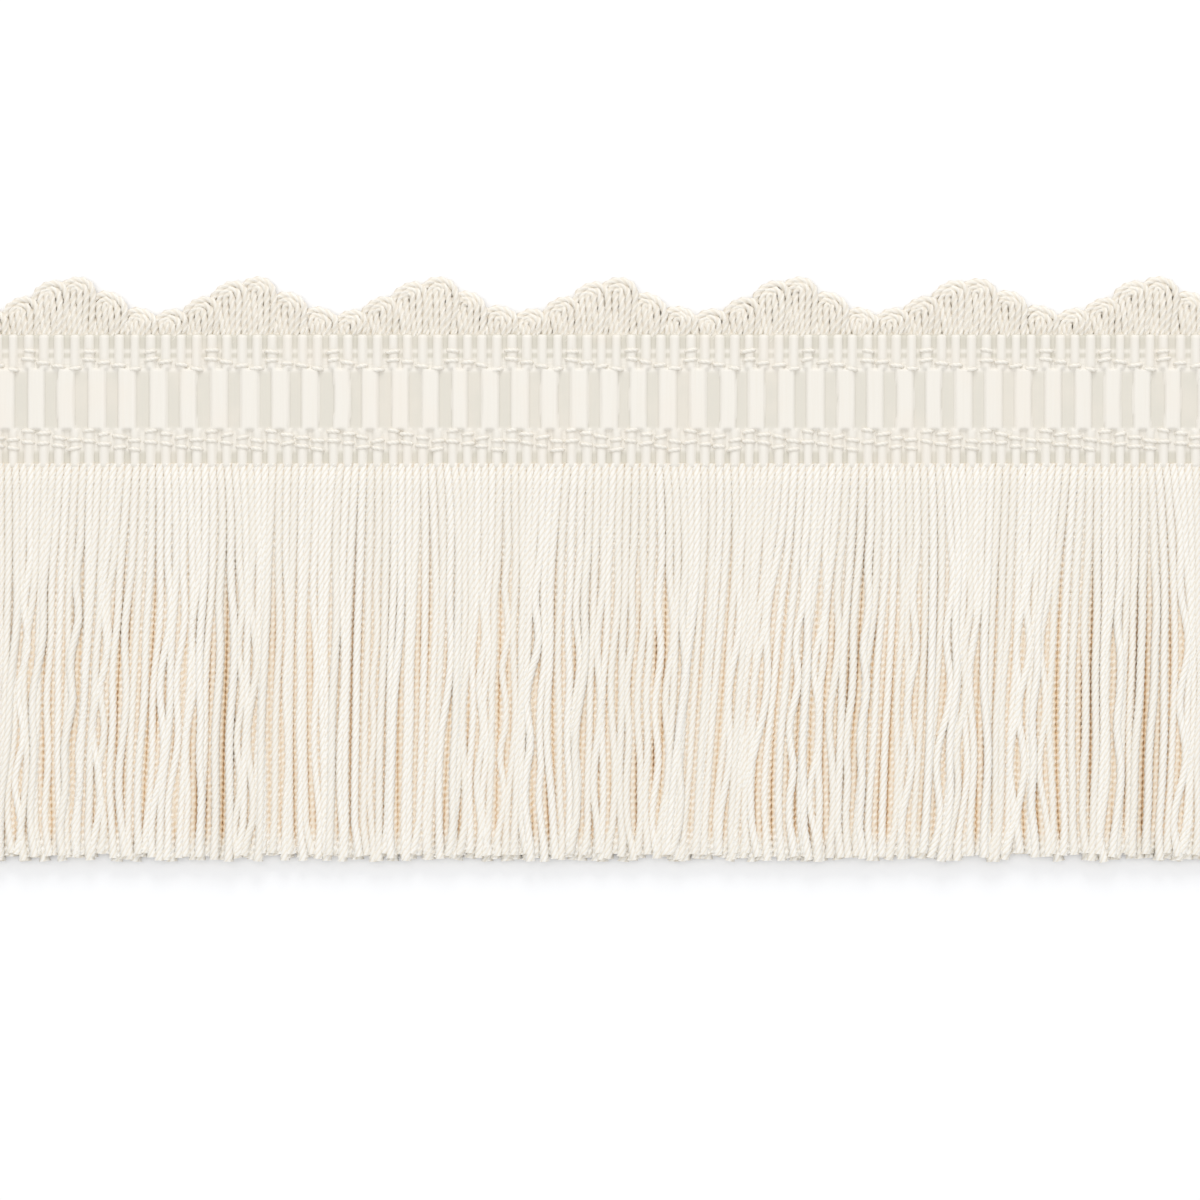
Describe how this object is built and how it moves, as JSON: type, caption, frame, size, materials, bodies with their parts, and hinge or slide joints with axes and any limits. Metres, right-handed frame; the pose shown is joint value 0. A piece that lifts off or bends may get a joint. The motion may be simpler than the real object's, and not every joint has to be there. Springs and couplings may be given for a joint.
{
  "type": "chainette fringe trim",
  "caption": "Cut length of scalloped fringe trim: a ribbed woven heading with looped scallops above and a skirt of twisted cords below, lying flat.",
  "frame": {"origin": "middle of the footprint, on the surface that the trim lies on", "axes": "+X along the trim, +Y from the fringe's ends towards the scallops, +Z out of the surface, towards the trim's face"},
  "size_m": [0.1638, 0.076, 0.0022],
  "materials": {
    "heading_yarn": "soft sheen",
    "loop_yarn": "soft sheen",
    "fringe_yarn": "soft sheen"
  },
  "bodies": {
    "root": {"heading": "heading_yarn", "scallop_1": "loop_yarn", "scallop_2": "loop_yarn", "scallop_3": "loop_yarn", "scallop_4": "loop_yarn", "scallop_5": "loop_yarn", "scallop_6": "loop_yarn", "scallop_7": "loop_yarn", "fringe": "fringe_yarn"}
  },
  "joints": []
}
